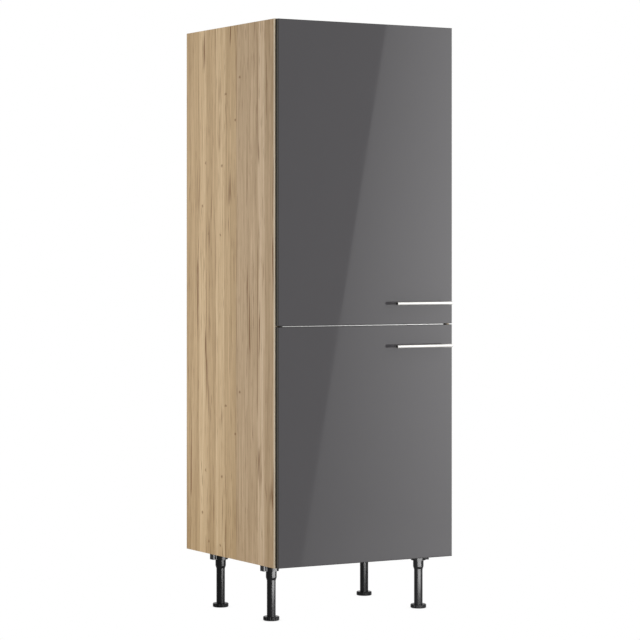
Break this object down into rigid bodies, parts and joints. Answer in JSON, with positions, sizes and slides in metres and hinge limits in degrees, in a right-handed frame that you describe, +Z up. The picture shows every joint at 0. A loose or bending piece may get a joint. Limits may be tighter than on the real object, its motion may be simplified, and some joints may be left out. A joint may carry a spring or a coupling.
{
  "type": "mid-height kitchen cabinet",
  "caption": "Tall board cabinet on levelling legs, with stacked hinged doors on concealed hinges, bar handles, a fixed middle board and loose shelves.",
  "frame": {"origin": "on the floor, under the middle of the overall box (carcass, doors and handles)", "axes": "+Z up, +X to the right seen from the front, +Y to the back; the doors face -Y"},
  "size_m": [0.6, 0.6132, 1.753],
  "materials": {
    "oak_decor_board": "matt melamine, oak decor with vertical grain outside, white inside",
    "oak_edge_band": "printed oak band, a little paler than the board",
    "white_melamine_board": "matt white melamine",
    "white_edge_band": "matt white band",
    "hardboard": "thin lacquered hardboard",
    "die_cast_zinc": "as cast, dull",
    "zinc_plated_steel": "bright zinc plated",
    "beech": "ribbed beech, raw",
    "gloss_anthracite_board": "high-gloss foil on board",
    "dark_edging": "gloss plastic edging",
    "clear_buffer": "soft clear plastic",
    "brushed_steel": "fine brushed",
    "nickel_plated_steel": "nickel plated",
    "black_plastic": "moulded black plastic, satin"
  },
  "bodies": {
    "carcass": {"side_panel_left": "oak_decor_board", "side_panel_right": "oak_decor_board", "side_edge_bands": "oak_edge_band", "bottom_panel": "white_melamine_board", "middle_panel": "white_melamine_board", "top_panel": "white_melamine_board", "shelf_lower": "white_melamine_board", "shelf_upper_low": "white_melamine_board", "shelf_upper_high": "white_melamine_board", "cross_edge_bands": "white_edge_band", "shelf_edge_bands": "white_edge_band", "back_panel_lower": "hardboard", "back_panel_upper": "hardboard", "cam_locks": "die_cast_zinc", "cam_bolts": "zinc_plated_steel", "back_panel_screws": "zinc_plated_steel", "wall_brackets": "zinc_plated_steel", "wall_bracket_screws": "zinc_plated_steel", "shelf_pins": "zinc_plated_steel", "wood_dowels": "beech", "upper_hinge_arms": "nickel_plated_steel", "upper_hinge_plates": "nickel_plated_steel", "upper_hinge_arm_pins": "nickel_plated_steel", "upper_hinge_plate_screws": "zinc_plated_steel", "lower_hinge_arms": "nickel_plated_steel", "lower_hinge_plates": "nickel_plated_steel", "lower_hinge_arm_pins": "nickel_plated_steel", "lower_hinge_plate_screws": "zinc_plated_steel", "leg_bracket_front_left": "black_plastic", "leg_bracket_front_right": "black_plastic", "leg_bracket_rear_left": "black_plastic", "leg_bracket_rear_right": "black_plastic"},
    "upper_hinge_link": {"upper_hinge_links": "nickel_plated_steel"},
    "upper_door": {"upper_door_panel": "gloss_anthracite_board", "upper_door_edging": "dark_edging", "upper_door_buffers": "clear_buffer", "upper_handle_bar": "brushed_steel", "upper_handle_posts": "brushed_steel", "upper_handle_screws": "zinc_plated_steel", "upper_hinge_cups": "nickel_plated_steel", "upper_hinge_cup_pins": "nickel_plated_steel", "upper_hinge_cup_screws": "zinc_plated_steel"},
    "lower_hinge_link": {"lower_hinge_links": "nickel_plated_steel"},
    "lower_door": {"lower_door_panel": "gloss_anthracite_board", "lower_door_edging": "dark_edging", "lower_door_buffers": "clear_buffer", "lower_handle_bar": "brushed_steel", "lower_handle_posts": "brushed_steel", "lower_handle_screws": "zinc_plated_steel", "lower_hinge_cups": "nickel_plated_steel", "lower_hinge_cup_pins": "nickel_plated_steel", "lower_hinge_cup_screws": "zinc_plated_steel"},
    "leg_front_left": {"leg_tube_front_left": "black_plastic", "leg_foot_front_left": "black_plastic"},
    "leg_front_right": {"leg_tube_front_right": "black_plastic", "leg_foot_front_right": "black_plastic"},
    "leg_rear_left": {"leg_tube_rear_left": "black_plastic", "leg_foot_rear_left": "black_plastic"},
    "leg_rear_right": {"leg_tube_rear_right": "black_plastic", "leg_foot_rear_right": "black_plastic"}
  },
  "joints": [
    {"name": "upper_hinge_link_pivot", "type": "hinge", "parent": "carcass", "child": "upper_hinge_link", "pos_m": [-0.2597, -0.2487, 0.965], "axis": [0, 0, 1], "range_deg": [0, 33.6]},
    {"name": "upper_door_hinge", "type": "hinge", "parent": "upper_hinge_link", "child": "upper_door", "pos_m": [-0.2859, -0.2593, 0.965], "axis": [0, 0, -1], "range_deg": [0, 128.6]},
    {"name": "lower_hinge_link_pivot", "type": "hinge", "parent": "carcass", "child": "lower_hinge_link", "pos_m": [-0.2597, -0.2487, 0.2665], "axis": [0, 0, 1], "range_deg": [0, 33.6]},
    {"name": "lower_door_hinge", "type": "hinge", "parent": "lower_hinge_link", "child": "lower_door", "pos_m": [-0.2859, -0.2593, 0.2665], "axis": [0, 0, -1], "range_deg": [0, 128.6]},
    {"name": "leg_front_left_levelling", "type": "slide", "parent": "carcass", "child": "leg_front_left", "axis": [0, 0, -1], "range_m": [-0.015, 0.015]},
    {"name": "leg_front_right_levelling", "type": "slide", "parent": "carcass", "child": "leg_front_right", "axis": [0, 0, -1], "range_m": [-0.015, 0.015]},
    {"name": "leg_rear_left_levelling", "type": "slide", "parent": "carcass", "child": "leg_rear_left", "axis": [0, 0, -1], "range_m": [-0.015, 0.015]},
    {"name": "leg_rear_right_levelling", "type": "slide", "parent": "carcass", "child": "leg_rear_right", "axis": [0, 0, -1], "range_m": [-0.015, 0.015]}
  ],
  "couplings": [
    {"joint": "upper_hinge_link_pivot", "follows": "upper_door_hinge", "ratio": 0.2612},
    {"joint": "lower_hinge_link_pivot", "follows": "lower_door_hinge", "ratio": 0.2612}
  ]
}
